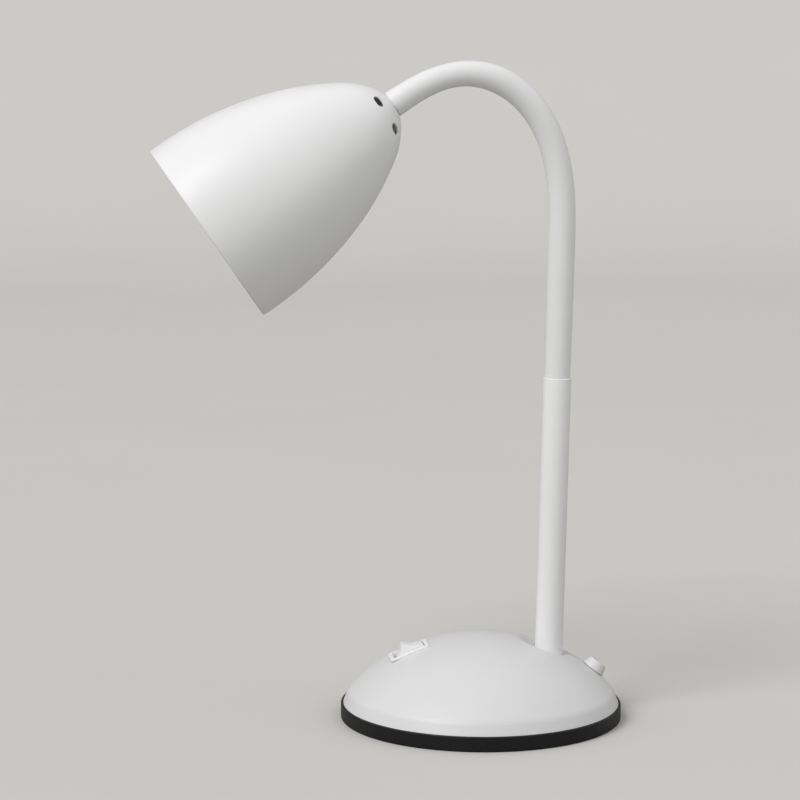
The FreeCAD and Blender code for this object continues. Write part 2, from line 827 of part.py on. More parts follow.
def make_lamp_globe(head):
    centre = lamp_globe_centre()
    ball = Part.makeSphere(lamp_globe_radius, Vector(0, 0, centre))
    hollow = Part.makeSphere(lamp_globe_radius - globe_wall, Vector(0, 0, centre))
    reach = 2 * lamp_globe_radius
    below_collar = rod(reach, centre - reach, centre + globe_joint_above_centre)
    return placed(ball.cut(hollow).common(below_collar), head)


# Rocker switch

def make_switch_housing(at):
    bezel = block(bezel_length, bezel_width, 0, bezel_height, bezel_corner)
    rim = [e for e in bezel.Edges if abs(e.BoundBox.ZMin - bezel_height) < 1e-6]
    bezel = bezel.makeFillet(bezel_edge_round, rim)
    body = block(switch_body_length, switch_body_width, -switch_body_depth, 0.1)
    housing = bezel.fuse(body)
    housing = housing.cut(block(2 * switch_cavity_half_length, switch_cavity_width, -switch_cavity_depth, 5))
    pin_hole = Part.makeCylinder(rocker_pin_radius + pin_running_gap, 40, Vector(0, -20, -rocker_pivot_depth),
                                 Vector(0, 1, 0))
    housing = housing.cut(pin_hole)
    for x in switch_blade_places:
        slit = Part.makeBox(0.9, 5.0, 10, Vector(x - 0.45, -2.5, -switch_body_depth - 1))
        housing = housing.cut(slit)
    return placed(housing, at)


def rocker_placement(at):
    """The rocker at rest: its outer end up, turned about its pin."""
    pivot = Placement(Vector(0, 0, -rocker_pivot_depth), Rotation(Vector(0, 1, 0), rocker_tilt))
    return at.multiply(pivot)


def make_rocker(at):
    half = [(0, rocker_valley), rocker_shoulder, rocker_waist, rocker_underside]
    outline = half + [(-x, z) for x, z in reversed(half[1:])]
    corners = [Vector(x, -rocker_width / 2, z) for x, z in outline]
    body = Part.Face(Part.makePolygon(corners + corners[:1])).extrude(Vector(0, rocker_width, 0))
    shoulders = [e for e in body.Edges if abs(e.BoundBox.ZMin - rocker_shoulder[1]) < 1e-6
                 and abs(e.BoundBox.ZMax - rocker_shoulder[1]) < 1e-6]
    body = body.makeFillet(rocker_edge_round, shoulders)
    pin_length = switch_body_width - 0.2
    pin = Part.makeCylinder(rocker_pin_radius, pin_length, Vector(0, -pin_length / 2, 0), Vector(0, 1, 0))
    body = body.fuse(pin)
    body = body.cut(rod(plunger_hole_radius, -10, spring_top + 0.1))
    return placed(body, rocker_placement(at))


def make_switch_plunger(at):
    cone = plunger_radius - 0.5
    tip = Part.makeCone(0.5, plunger_radius, cone, Vector(0, 0, plunger_tip), up)
    return placed(rod(plunger_radius, plunger_tip + cone, plunger_top).fuse(tip), rocker_placement(at))


def make_switch_spring(at):
    spring = pipe(plunger_radius - 0.05, plunger_radius - 0.55, plunger_top, spring_top)
    return placed(spring, rocker_placement(at))


def make_contact_arm(at):
    """See-saw contact under the plunger: two slightly raised wings, tilted against the rocker."""
    pivot = Placement(Vector(0, 0, -contact_pivot_depth), Rotation(Vector(0, 1, 0), -contact_arm_tilt))
    reach, width, height = contact_arm_reach, contact_arm_width, contact_arm_height
    rise = reach * math.tan(math.radians(contact_arm_rise))
    low = [(-reach, height + rise), (0, height), (reach, height + rise)]
    outline = low + [(x, z + contact_arm_thickness) for x, z in reversed(low)]
    corners = [Vector(x, -width / 2, z) for x, z in outline]
    plate = Part.Face(Part.makePolygon(corners + corners[:1])).extrude(Vector(0, width, 0))
    knife = Part.makeCylinder(height, width, Vector(0, -width / 2, 0), Vector(0, 1, 0))
    heel = Part.makeBox(contact_arm_thickness, width, height + 0.1,
                        Vector(-contact_arm_thickness / 2, -width / 2, 0))
    button = rod(contact_button_radius, 0.1, height + 0.1 + rise, contact_button_place, 0)
    return placed(plate.fuse(knife).fuse(heel).fuse(button), at.multiply(pivot))


def make_switch_terminals(at):
    blades = []
    low = -switch_body_depth - switch_blade_length
    for x, top in zip(switch_blade_places, (-switch_cavity_depth + 0.6, -contact_pivot_depth - 0.35)):
        blades.append(Part.makeBox(0.8, 4.8, top - low, Vector(x - 0.4, -2.4, low)))
    return placed(Part.makeCompound(blades), at)


# Wiring

def sheath_bottom():
    return stem_placement().multVec(Vector(0, 0, -thread_below_seat - 3))


def make_lead_sheath(frames):
    """Round two-core lead from under the seat, up the tube, through the neck into the lampholder."""
    low = sheath_bottom()
    edges = [line(low, frames[0][0])]
    for index in range(len(frames) - 1):
        length, turn = neck_stretch(index)
        point, heading = frames[index]
        if turn < 0.2:
            edges.append(line(point, frames[index + 1][0]))
        else:
            edges.append(turtle_arc(point, heading, length / math.radians(turn), turn)[0])
    end, heading = frames[-1]
    edges.append(line(end, end + polar(shade_depth - holder_top + 6, heading)))
    return swept(edges, low, frames[0][0] - low, sheath_radius)


def block_socket(side, end):
    """Mouth of one of the terminal block's channels."""
    x, y = block_centre
    height = ballast_top + block_channel_height
    return Vector(x + side * block_channel_offset, y + end * block_size[1] / 2, height)


def blade_end(at, number, beyond):
    """A point below one blade of the switch, a distance beyond its tip."""
    depth = switch_body_depth + switch_blade_length + beyond
    return at.multVec(Vector(switch_blade_places[number], 0, -depth))


def make_live_lead(at):
    """Switched lead: from the middle blade of the switch to the sheath's foot."""
    foot = sheath_bottom() + Vector(-1.15, 0, -0.2)
    points = [blade_end(at, 1, 0.1), blade_end(at, 1, 3.0), Vector(-20, -12, 13.2), Vector(12, -12, 13.2),
              foot + Vector(-2.5, -1.5, -2.9), foot + Vector(0, 0, -2.0), foot]
    return routed_tube(points, wire_radius)


def make_neutral_lead():
    foot = sheath_bottom() + Vector(1.15, 0, -0.2)
    socket = block_socket(1, -1)
    points = [socket + Vector(0, 5.0, 0), socket + Vector(0, -4, 0), Vector(16, 10, 13.4),
              foot + Vector(0.5, 3.0, -3.0), foot + Vector(0, 0, -2.0), foot]
    return routed_tube(points, wire_radius)


def make_supply_lead(at):
    """From the terminal block to the outer blade of the switch."""
    socket = block_socket(-1, -1)
    points = [socket + Vector(0, 5.0, 0), socket + Vector(0, -4, 0), Vector(-12, 12, 13.4),
              Vector(-24, 8, 13.0), blade_end(at, 0, 2.0), blade_end(at, 0, 0.1)]
    return routed_tube(points, wire_radius)


def make_holder_leads(head):
    """The two cores inside the lampholder, from the sheath's end to the contact screws."""
    start = holder_top - 6
    leads = []
    for side in (-1, 1):
        points = [Vector(0, side * 1.3, start - 0.1), Vector(0, side * 1.3, start - 2.0),
                  Vector(0, side * contact_screw_offset, insert_high + 3.6),
                  Vector(0, side * contact_screw_offset, insert_high + 1.5)]
        leads.append(routed_tube(points, 0.8))
    return placed(Part.makeCompound(leads), head)


def report_frames(frames):
    for number, (point, heading) in enumerate(frames):
        print("station", number, "at", round(point.x, 3), round(point.z, 3), "heading", round(heading, 3))


def main():
    frames = neck_frames()
    head = head_placement(frames)
    switch = switch_placement()
    nodes = {
        "base_pad": make_base_pad(),
        "base_tray": make_base_tray(),
        "ballast_disc": make_ballast(),
        "ballast_screws": make_ballast_screws(),
        "base_cover": make_base_cover(),
        "cover_screws": make_cover_screws(),
        "cord_gland": make_cord_gland(),
        "cord_clamp": make_cord_clamp(),
        "clamp_screws": make_clamp_screws(),
        "terminal_block": make_terminal_block(),
        "terminal_screws": make_terminal_screws(),
        "stem_tube": make_stem_tube(),
        "stem_plug": make_stem_plug(),
        "stem_washer": make_stem_washer(),
        "stem_nut": make_stem_nut(),
        "neck_lower_ferrule": make_lower_ferrule(frames),
        "neck_upper_ferrule": make_upper_ferrule(frames),
        "shade": make_shade(head),
        "shade_washer": make_shade_washer(head),
        "shade_nut": make_shade_nut(head),
        "lampholder_cap": make_holder_cap(head),
        "lampholder_shell": make_holder_shell(head),
        "lampholder_insert": make_holder_insert(head),
        "centre_contact": make_centre_contact(head),
        "screw_shell": make_screw_shell(head),
        "contact_screws": make_contact_screws(head),
        "lamp_cap": make_lamp_cap(head),
        "lamp_collar": make_lamp_collar(head),
        "lamp_globe": make_lamp_globe(head),
        "holder_leads": make_holder_leads(head),
        "switch_housing": make_switch_housing(switch),
        "switch_terminals": make_switch_terminals(switch),
        "rocker": make_rocker(switch),
        "switch_plunger": make_switch_plunger(switch),
        "switch_spring": make_switch_spring(switch),
        "switch_contact_arm": make_contact_arm(switch),
        "lead_sheath": make_lead_sheath(frames),
        "live_lead": make_live_lead(switch),
        "neutral_lead": make_neutral_lead(),
        "supply_lead": make_supply_lead(switch),
    }
    for index in range(1, joint_count):
        nodes["neck_link_%02d" % index] = make_neck_link(frames, index)

    os.makedirs("parts", exist_ok=True)
    for name, shape in nodes.items():
        shape.exportStep(os.path.join("parts", name + ".step"))
        print(name, "solids", len(shape.Solids), "valid", shape.isValid(), "volume", round(shape.Volume, 1))
    report_frames(frames)
    print("switch frame", switch.Base)
    print("rocker pivot", rocker_placement(switch).Base)
    print("contact pivot", switch.multVec(Vector(0, 0, -contact_pivot_depth)))
    print("head origin", head.Base)


main()
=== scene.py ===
import json
import math

import bpy
from mathutils import Matrix, Vector


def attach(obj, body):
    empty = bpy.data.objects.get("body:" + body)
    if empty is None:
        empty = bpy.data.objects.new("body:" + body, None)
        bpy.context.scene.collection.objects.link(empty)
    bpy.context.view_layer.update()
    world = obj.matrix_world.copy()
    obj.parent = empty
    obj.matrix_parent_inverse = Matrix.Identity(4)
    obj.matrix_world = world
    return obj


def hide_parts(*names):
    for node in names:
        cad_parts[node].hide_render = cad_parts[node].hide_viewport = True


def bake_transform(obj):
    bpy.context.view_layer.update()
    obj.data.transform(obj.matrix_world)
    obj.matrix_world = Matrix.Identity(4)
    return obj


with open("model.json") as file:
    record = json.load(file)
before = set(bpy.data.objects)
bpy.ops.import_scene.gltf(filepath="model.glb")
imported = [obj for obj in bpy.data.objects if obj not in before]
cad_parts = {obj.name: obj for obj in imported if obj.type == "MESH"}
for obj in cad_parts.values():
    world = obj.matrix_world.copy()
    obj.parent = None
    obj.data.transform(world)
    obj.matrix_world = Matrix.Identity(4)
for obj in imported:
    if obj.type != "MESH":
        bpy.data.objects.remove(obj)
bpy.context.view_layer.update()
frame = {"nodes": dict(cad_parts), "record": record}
mm = 0.001


# Habits that every piece shares

def deselectAll():
    if bpy.context.mode != "OBJECT":
        bpy.ops.object.mode_set(mode="OBJECT")
    bpy.ops.object.select_all(action="DESELECT")


def makeActive(piece):
    deselectAll()
    piece.select_set(True)
    bpy.context.view_layer.objects.active = piece


def editAll(piece):
    makeActive(piece)
    bpy.ops.object.mode_set(mode="EDIT")
    bpy.ops.mesh.select_all(action="SELECT")


def applyAll(piece):
    makeActive(piece)
    for modifier in list(piece.modifiers):
        bpy.ops.object.modifier_apply(modifier=modifier.name)


def duplicateOf(piece):
    makeActive(piece)
    bpy.ops.object.duplicate()
    return bpy.context.active_object


def removePiece(piece):
    makeActive(piece)
    bpy.ops.object.delete()


def moveBy(piece, matrix):
    piece.matrix_world = matrix
    makeActive(piece)
    bpy.ops.object.transform_apply(location=True, rotation=True, scale=True)


def smoothByAngle(piece, degrees):
    makeActive(piece)
    bpy.ops.object.shade_smooth_by_angle(angle=math.radians(degrees))


def softenEdges(piece, width, degrees):
    makeActive(piece)
    modifier = piece.modifiers.new("soften", "BEVEL")
    modifier.width = width * mm
    modifier.segments = 3
    modifier.limit_method = "ANGLE"
    modifier.angle_limit = math.radians(degrees)
    applyAll(piece)


def cutWith(piece, cutter):
    makeActive(piece)
    modifier = piece.modifiers.new("cut", "BOOLEAN")
    modifier.operation = "DIFFERENCE"
    modifier.solver = "EXACT"
    modifier.object = cutter
    applyAll(piece)
    removePiece(cutter)


def finishPiece(piece, name, material, body=None, nodes=()):
    makeActive(piece)
    bpy.ops.object.transform_apply(location=True, rotation=True, scale=True)
    piece.name = name
    piece.data.name = name
    piece.data.materials.clear()
    piece.data.materials.append(material)
    if body:
        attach(piece, body)
    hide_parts(*nodes)


# Outlines: lists of (x, z) pairs in millimetres, drawn like a pen that moves and turns

def arcFrom(start, heading, radius, turn, stepDegrees=3.0):
    count = max(2, math.ceil(abs(turn) / stepDegrees))
    chord = 2 * radius * math.sin(math.radians(abs(turn) / count / 2))
    points = []
    x, z = start
    for step in range(count):
        angle = math.radians(heading + turn * (step + 0.5) / count)
        x += chord * math.cos(angle)
        z += chord * math.sin(angle)
        points.append((x, z))
    return points, heading + turn


def roundedOutline(corners):
    # Each corner is (x, z, radius); a radius of 0 leaves it sharp
    points = []
    count = len(corners)
    for index, (x, z, radius) in enumerate(corners):
        if radius == 0:
            points.append((x, z))
            continue
        here = Vector((x, z))
        before = (Vector(corners[index - 1][:2]) - here).normalized()
        after = (Vector(corners[(index + 1) % count][:2]) - here).normalized()
        half = before.angle(after) / 2
        reach = radius / math.tan(half)
        middle = here + (before + after).normalized() * (radius / math.sin(half))
        first = here + before * reach - middle
        last = here + after * reach - middle
        sweep = first.angle_signed(last)
        steps = max(2, math.ceil(abs(math.degrees(sweep)) / 15))
        for step in range(steps + 1):
            turned = Matrix.Rotation(-sweep * step / steps, 2) @ first
            points.append(tuple(middle + turned))
    return points


def drawOutline(name, points):
    # One vertex is extruded along the outline in the XZ plane, and its two ends are then joined
    deselectAll()
    bpy.ops.mesh.primitive_plane_add(size=0.001)
    piece = bpy.context.active_object
    piece.name = name
    editAll(piece)
    bpy.ops.mesh.merge(type="CENTER")
    x, z = points[0]
    bpy.ops.transform.translate(value=(x * mm, 0, z * mm))
    for before, after in zip(points, points[1:]):
        step = ((after[0] - before[0]) * mm, 0, (after[1] - before[1]) * mm)
        bpy.ops.mesh.extrude_vertices_move(TRANSFORM_OT_translate={"value": step})
    bpy.ops.mesh.select_mode(type="VERT")
    bpy.ops.mesh.select_all(action="DESELECT")
    bpy.ops.object.mode_set(mode="OBJECT")
    piece.data.vertices[0].select = True
    piece.data.vertices[len(points) - 1].select = True
    bpy.ops.object.mode_set(mode="EDIT")
    bpy.ops.mesh.edge_face_add()
    bpy.ops.mesh.select_all(action="SELECT")
    return piece


def latheOutline(name, points, steps):
    piece = drawOutline(name, points)
    bpy.ops.mesh.spin(steps=steps, angle=2 * math.pi, center=(0, 0, 0), axis=(0, 0, 1))
    bpy.ops.mesh.select_all(action="SELECT")
    bpy.ops.mesh.remove_doubles(threshold=0.000002)
    bpy.ops.mesh.normals_make_consistent(inside=False)
    bpy.ops.object.mode_set(mode="OBJECT")
    return piece


# Where things are: the same driving sizes as the construction, in millimetres and degrees

layout = {
    "stemFootX": 36.95,
    "stemLean": 1.35,
    "seatHeight": 30.8,
    "stemTop": 183.3,
    "shadeDrop": 34.3,
    "shadeDepth": 117.3,
    "domeArcs": ((102.0, 32.2), (77.0, 16.0)),
    "domeTop": 44.7,
}
stemLength = (layout["stemTop"] - layout["seatHeight"]) / math.cos(math.radians(layout["stemLean"]))


def stemMatrix():
    foot = Vector((layout["stemFootX"], 0, layout["seatHeight"])) * mm
    return Matrix.Translation(foot) @ Matrix.Rotation(math.radians(layout["stemLean"]), 4, "Y")


def domeTilt(x):
    (firstRadius, firstTurn), (secondRadius, _) = layout["domeArcs"]
    if abs(x) <= firstRadius * math.sin(math.radians(firstTurn)):
        return math.degrees(math.asin(abs(x) / firstRadius))
    shift = (firstRadius - secondRadius) * math.sin(math.radians(firstTurn))
    return math.degrees(math.asin((abs(x) - shift) / secondRadius))


def domeMatrix(x, sink=0.0, slope=None):
    # Origin on the dome's surface over x, Z along its outward normal unless a slope is given
    (firstRadius, firstTurn), (secondRadius, _) = layout["domeArcs"]
    tilt = math.radians(domeTilt(x))
    height = layout["domeTop"] - firstRadius + firstRadius * math.cos(tilt)
    if domeTilt(x) > firstTurn:
        turn = math.radians(firstTurn)
        height = (layout["domeTop"] - firstRadius + (firstRadius - secondRadius) * math.cos(turn)
                  + secondRadius * math.cos(tilt))
    signed = math.copysign(tilt if slope is None else math.radians(slope), x)
    place = Matrix.Translation(Vector((x, 0, height)) * mm) @ Matrix.Rotation(signed, 4, "Y")
    return place @ Matrix.Translation((0, 0, -sink * mm))


def pointing(heading):
    # Unit vector in the lamp's plane; a heading of 90 is straight up
    return Vector((math.cos(math.radians(heading)), 0, math.sin(math.radians(heading))))


# The neck's centre line, heading by heading as in the construction

neck = {
    "length": 230.5,
    "straight": 69.55,
    "rise": 0.64,
    "fall": 0.24,
    "firstJoint": 12.0,
    "lastJoint": 220.0,
    "jointCount": 16,
    "sleeveRadius": 7.0,
    "widths": ((0, 0.985), (35, 1.02), (60, 1.035), (120, 1.015), (170, 1.02), (187, 0.95),
               (198, 0.93), (212, 0.965), (231, 1.03)),
    "endRound": 0.6,
    "endGap": 0.7,
    "leadRadius": 2.4,
    "leadEndRound": 0.2,
    "leadStart": -14.0,
    "rigidMargin": 1.8,
}


def turnedSoFar(distance):
    # The curve tightens over the share called rise and eases again over the share called fall
    rise, fall = neck["rise"], neck["fall"]
    t = (distance - neck["straight"]) / (neck["length"] - neck["straight"])
    whole = 1 - rise / 2 - fall / 2
    if t <= 0:
        part = 0
    elif t < rise:
        part = t * t / (2 * rise)
    elif t < 1 - fall:
        part = rise / 2 + t - rise
    else:
        part = whole - (1 - t) ** 2 / (2 * fall)
    total = 180 + layout["shadeDrop"] - (90 - layout["stemLean"])
    return total * part / whole


def neckStations():
    spacing = (neck["lastJoint"] - neck["firstJoint"]) / (neck["jointCount"] - 1)
    joints = [neck["firstJoint"] + spacing * k for k in range(neck["jointCount"])]
    return [0.0] + joints + [neck["length"]]


def neckFrames():
    # (distance, point, heading) at each station and halfway between stations
    point = stemMatrix() @ Vector((0, 0, stemLength * mm))
    heading = 90 - layout["stemLean"]
    frames = [(0.0, point, heading)]
    stations = neckStations()
    for near, far in zip(stations, stations[1:]):
        turn = turnedSoFar(far) - turnedSoFar(near)
        for share in (0.5, 1.0):
            angle = math.radians(turn * share / 2)
            chord = (far - near) * share * (math.sin(angle) / angle if angle > 0 else 1)
            direction = math.radians(heading) + angle
            _, start, _ = frames[-1] if share == 0.5 else frames[-2]
            end = start + Vector((math.cos(direction), 0, math.sin(direction))) * chord * mm
            frames.append((near + (far - near) * share, end, heading + turn * share))
        heading += turn
    return frames


neckLine = neckFrames()


def headMatrix():
    # Z runs from the rim's plane to the shade's nose
    _, end, heading = neckLine[-1]
    rim = end + pointing(heading) * layout["shadeDepth"] * mm
    return Matrix.Translation(rim) @ Matrix.Rotation(math.radians(90 - layout["shadeDrop"]), 4, "Y")


# Materials

def linear(hexColour):
    channels = [int(hexColour[i:i + 2], 16) / 255 for i in (1, 3, 5)]
    return [c / 12.92 if c <= 0.04045 else ((c + 0.055) / 1.055) ** 2.4 for c in channels] + [1.0]


def addNode(tree, kind, settings=None, links=None):
    node = tree.nodes.new(kind)
    for key, value in (settings or {}).items():
        if key in node.inputs:
            node.inputs[key].default_value = value
        else:
            setattr(node, key, value)
    for key, source in (links or {}).items():
        tree.links.new(source, node.inputs[key])
    return node


def startMaterial(name, **sockets):
    material = bpy.data.materials.new(name)
    material.use_nodes = True
    tree = material.node_tree
    shader = tree.nodes["Principled BSDF"]
    for key, value in sockets.items():
        shader.inputs[key.replace("_", " ")].default_value = value
    place = addNode(tree, "ShaderNodeTexCoord").outputs["Object"]
    return material, tree, shader, place


def addNoise(tree, place, size, detail):
    # Size is the patches' width in millimetres
    return addNode(tree, "ShaderNodeTexNoise", {"Scale": 1000 / size, "Detail": detail}, {"Vector": place})


def addCells(tree, place, size):
    return addNode(tree, "ShaderNodeTexVoronoi", {"Scale": 1000 / size}, {"Vector": place})


def mixSockets(tree, factor):
    # The colour sockets share their names with the number ones, so they are taken by place
    mix = addNode(tree, "ShaderNodeMix", {"data_type": "RGBA"}, {"Factor": factor})
    return mix.inputs[6], mix.inputs[7], mix.outputs[2]


def variedColour(tree, shader, place, light, dark, size):
    # Two near shades of one colour, drifting over patches of that size in millimetres
    drift = addNoise(tree, place, size, 3.0)
    first, second, mixed = mixSockets(tree, drift.outputs["Fac"])
    first.default_value = linear(light)
    second.default_value = linear(dark)
    tree.links.new(mixed, shader.inputs["Base Color"])


def variedRoughness(tree, shader, place, low, high, size):
    drift = addNoise(tree, place, size, 4.0)
    spread = addNode(tree, "ShaderNodeMapRange",
                     {"From Min": 0.3, "From Max": 0.7, "To Min": low, "To Max": high},
                     {"Value": drift.outputs["Fac"]})
    tree.links.new(spread.outputs["Result"], shader.inputs["Roughness"])


def addBump(tree, shader, heightSocket, strength, depth):
    bump = addNode(tree, "ShaderNodeBump", {"Strength": strength, "Distance": depth * mm},
                   {"Height": heightSocket})
    tree.links.new(bump.outputs["Normal"], shader.inputs["Normal"])


def satinEnamel():
    # Powder-coated steel: soft sheen with a faint orange peel
    material, tree, shader, place = startMaterial("satin enamel", Roughness=0.42, IOR=1.5)
    variedColour(tree, shader, place, "#EEEEEE", "#EAEAEA", 45)
    variedRoughness(tree, shader, place, 0.36, 0.46, 18)
    peel = addNoise(tree, place, 1.6, 2.0)
    addBump(tree, shader, peel.outputs["Fac"], 0.25, 0.02)
    return material


def mouldedShell():
    # Moulded ABS from a spark-eroded tool: even, slightly duller than enamel, with a fine grain
    material, tree, shader, place = startMaterial("moulded shell", Roughness=0.45, IOR=1.5)
    variedColour(tree, shader, place, "#D9D9D9", "#D5D5D5", 60)
    variedRoughness(tree, shader, place, 0.4, 0.5, 25)
    grain = addNoise(tree, place, 0.5, 4.0)
    addBump(tree, shader, grain.outputs["Fac"], 0.2, 0.02)
    return material


def softSleeve():
    # Extruded soft PVC over the gooseneck: matt, with a fine grain
    material, tree, shader, place = startMaterial("soft sleeve", Roughness=0.5, IOR=1.5)
    variedColour(tree, shader, place, "#EAEAEA", "#E6E6E6", 30)
    variedRoughness(tree, shader, place, 0.44, 0.54, 12)
    grain = addNoise(tree, place, 0.8, 3.0)
    addBump(tree, shader, grain.outputs["Fac"], 0.2, 0.02)
    return material


def switchPlastic():
    # Polished white nylon of a small rocker: smoother than the shell round it
    material, tree, shader, place = startMaterial("switch plastic", Roughness=0.32, IOR=1.53)
    variedColour(tree, shader, place, "#F1F1F1", "#EDEDED", 8)
    variedRoughness(tree, shader, place, 0.27, 0.36, 5)
    grain = addNoise(tree, place, 0.4, 2.0)
    addBump(tree, shader, grain.outputs["Fac"], 0.1, 0.01)
    return material


def blackTray():
    # Moulded polypropylene: near black, leathery fine grain, dull highlight
    material, tree, shader, place = startMaterial("black tray plastic", Roughness=0.5, IOR=1.4)
    variedColour(tree, shader, place, "#0E0F0F", "#0A0B0B", 20)
    variedRoughness(tree, shader, place, 0.42, 0.56, 6)
    grain = addCells(tree, place, 0.45)
    addBump(tree, shader, grain.outputs["Distance"], 0.25, 0.04)
    return material


def padFoam():
    # Closed-cell foam sheet: black, dead matt, pitted
    material, tree, shader, place = startMaterial("pad foam", Roughness=0.9, IOR=1.4)
    variedColour(tree, shader, place, "#222222", "#1A1A1A", 6)
    pits = addCells(tree, place, 0.8)
    addBump(tree, shader, pits.outputs["Distance"], 0.5, 0.12)
    return material


def zincPlate():
    # Zinc-plated steel: bluish grey with fine turning marks
    material, tree, shader, place = startMaterial("zinc plate", Metallic=1.0, Roughness=0.35)
    variedColour(tree, shader, place, "#C9CCD0", "#B5B8BC", 4)
    variedRoughness(tree, shader, place, 0.28, 0.45, 3)
    marks = addNoise(tree, place, 0.3, 3.0)
    addBump(tree, shader, marks.outputs["Fac"], 0.2, 0.02)
    return material


def castIron():
    # Grey iron as it leaves the sand: dark and grainy
    material, tree, shader, place = startMaterial("cast iron", Metallic=1.0, Roughness=0.65)
    variedColour(tree, shader, place, "#6A6866", "#4C4A48", 12)
    grain = addNoise(tree, place, 0.7, 6.0)
    addBump(tree, shader, grain.outputs["Fac"], 0.6, 0.15)
    return material


def stampedBrass():
    # Stamped brass contacts: warm yellow metal with a slight tarnish
    material, tree, shader, place = startMaterial("stamped brass", Metallic=1.0, Roughness=0.3)
    variedColour(tree, shader, place, "#E3C57B", "#C9A55C", 5)
    variedRoughness(tree, shader, place, 0.22, 0.4, 3)
    return material


def nickelPlate():
    # Nickel-plated brass shell: warm silver
    material, tree, shader, place = startMaterial("nickel plate", Metallic=1.0, Roughness=0.25)
    variedColour(tree, shader, place, "#D8D3C8", "#C6C0B4", 6)
    variedRoughness(tree, shader, place, 0.18, 0.34, 4)
    return material


def opalGlass():
    # Opal glass of an unlit lamp: milky, glossy, lets a little light through
    material, tree, shader, place = startMaterial("opal glass", Roughness=0.18, IOR=1.5)
    shader.inputs["Subsurface Weight"].default_value = 0.4
    shader.inputs["Subsurface Radius"].default_value = (0.004, 0.004, 0.004)
    shader.inputs["Subsurface Scale"].default_value = 1.0
    variedColour(tree, shader, place, "#F4F3EF", "#EFEEE9", 25)
    variedRoughness(tree, shader, place, 0.14, 0.22, 14)
    return material


def heatPlastic(name, light, dark):
    # Heat-resisting moulded plastic: plain, slightly creamy, semi-matt
    material, tree, shader, place = startMaterial(name, Roughness=0.5, IOR=1.55)
    variedColour(tree, shader, place, light, dark, 10)
    variedRoughness(tree, shader, place, 0.42, 0.56, 6)
    grain = addNoise(tree, place, 0.4, 3.0)
    addBump(tree, shader, grain.outputs["Fac"], 0.2, 0.02)
    return material


def leadJacket():
    # PVC lead jacket: soft, matt, off-white
    material, tree, shader, place = startMaterial("lead jacket", Roughness=0.55, IOR=1.5)
    variedColour(tree, shader, place, "#E6E5E2", "#DCDBD7", 15)
    variedRoughness(tree, shader, place, 0.5, 0.62, 8)
    return material


finishes = {
    "white_plastic": mouldedShell(),
    "white_steel": satinEnamel(),
    "black_plastic": blackTray(),
    "terminal_plastic": heatPlastic("terminal plastic", "#DEDCD6", "#D2D0C8"),
    "foam": padFoam(),
    "ballast_iron": castIron(),
    "zinc_steel": zincPlate(),
    "brass_parts": stampedBrass(),
    "nickel_brass": nickelPlate(),
    "insert_plastic": heatPlastic("insert plastic", "#E4E0D4", "#D8D4C6"),
    "opal_glass": opalGlass(),
    "lead_pvc": leadJacket(),
}
sleevePlastic = softSleeve()
rockerPlastic = switchPlastic()

slotOfNode = {part["node"]: part["material_slot"] for part in frame["record"]["subparts"]}
for nodeName, node in frame["nodes"].items():
    node.data.materials.clear()
    node.data.materials.append(finishes[slotOfNode[nodeName]])
for nodeName in ("switch_housing", "rocker"):
    frame["nodes"][nodeName].data.materials[0] = rockerPlastic
print("materials ready")


# Gooseneck sleeve and the lead inside it: one bevelled path, cut into a length for each joint

def widthAt(distance):
    # The sleeve isn't equally thick all along: it thins where it bends down towards the shade
    widths = neck["widths"]
    for (near, first), (far, last) in zip(widths, widths[1:]):
        if distance <= far:
            share = max(0.0, (distance - near) / (far - near))
            return first + (last - first) * share * share * (3 - 2 * share)
    return widths[-1][1]


def evenWidth(distance):
    return 1.0


def tubeAlongNeck(name, radius, width, endRound, endGap=0.0, firstPoint=None):
    curve = bpy.data.curves.new(name, "CURVE")
    curve.dimensions = "3D"
    curve.bevel_depth = radius * mm
    curve.bevel_resolution = 14
    curve.resolution_u = 6
    curve.use_fill_caps = True
    spline = curve.splines.new("BEZIER")
    line = list(neckLine)
    distance, point, heading = line[-1]
    line[-1] = (distance, point - pointing(heading) * endGap * mm, heading)
    if firstPoint is not None:
        line.insert(0, (line[0][0] - (line[0][1] - firstPoint).length / mm, firstPoint, line[0][2]))
    spline.bezier_points.add(len(line) - 1)
    for index, (distance, point, heading) in enumerate(line):
        along = pointing(heading)
        bezierPoint = spline.bezier_points[index]
        bezierPoint.handle_left_type = "FREE"
        bezierPoint.handle_right_type = "FREE"
        bezierPoint.co = point
        before = line[max(index - 1, 0)][1]
        after = line[min(index + 1, len(line) - 1)][1]
        bezierPoint.handle_left = point - along * (point - before).length / 3
        bezierPoint.handle_right = point + along * (after - point).length / 3
        bezierPoint.radius = width(distance)
    piece = bpy.data.objects.new(name, curve)
    bpy.context.scene.collection.objects.link(piece)
    makeActive(piece)
    bpy.ops.object.convert(target="MESH")
    piece = bpy.context.active_object
    editAll(piece)
    bpy.ops.mesh.remove_doubles(threshold=0.000001)
    bpy.ops.mesh.normals_make_consistent(inside=False)
    bpy.ops.object.mode_set(mode="OBJECT")
    softenEdges(piece, endRound, 60)
    smoothByAngle(piece, 40)
    return piece


def cutAcross(piece, station, keepAfter):
    _, point, heading = station
    editAll(piece)
    bpy.ops.mesh.bisect(plane_co=point, plane_no=pointing(heading), clear_inner=keepAfter,
                        clear_outer=not keepAfter)
    bpy.ops.object.mode_set(mode="OBJECT")


def keepNormals(piece, whole):
    # Without this each cut would show as a faint ring
    makeActive(piece)
    modifier = piece.modifiers.new("normals", "DATA_TRANSFER")
    modifier.object = whole
    modifier.use_loop_data = True
    modifier.data_types_loops = {"CUSTOM_NORMAL"}
    modifier.loop_mapping = "POLYINTERP_NEAREST"
    applyAll(piece)


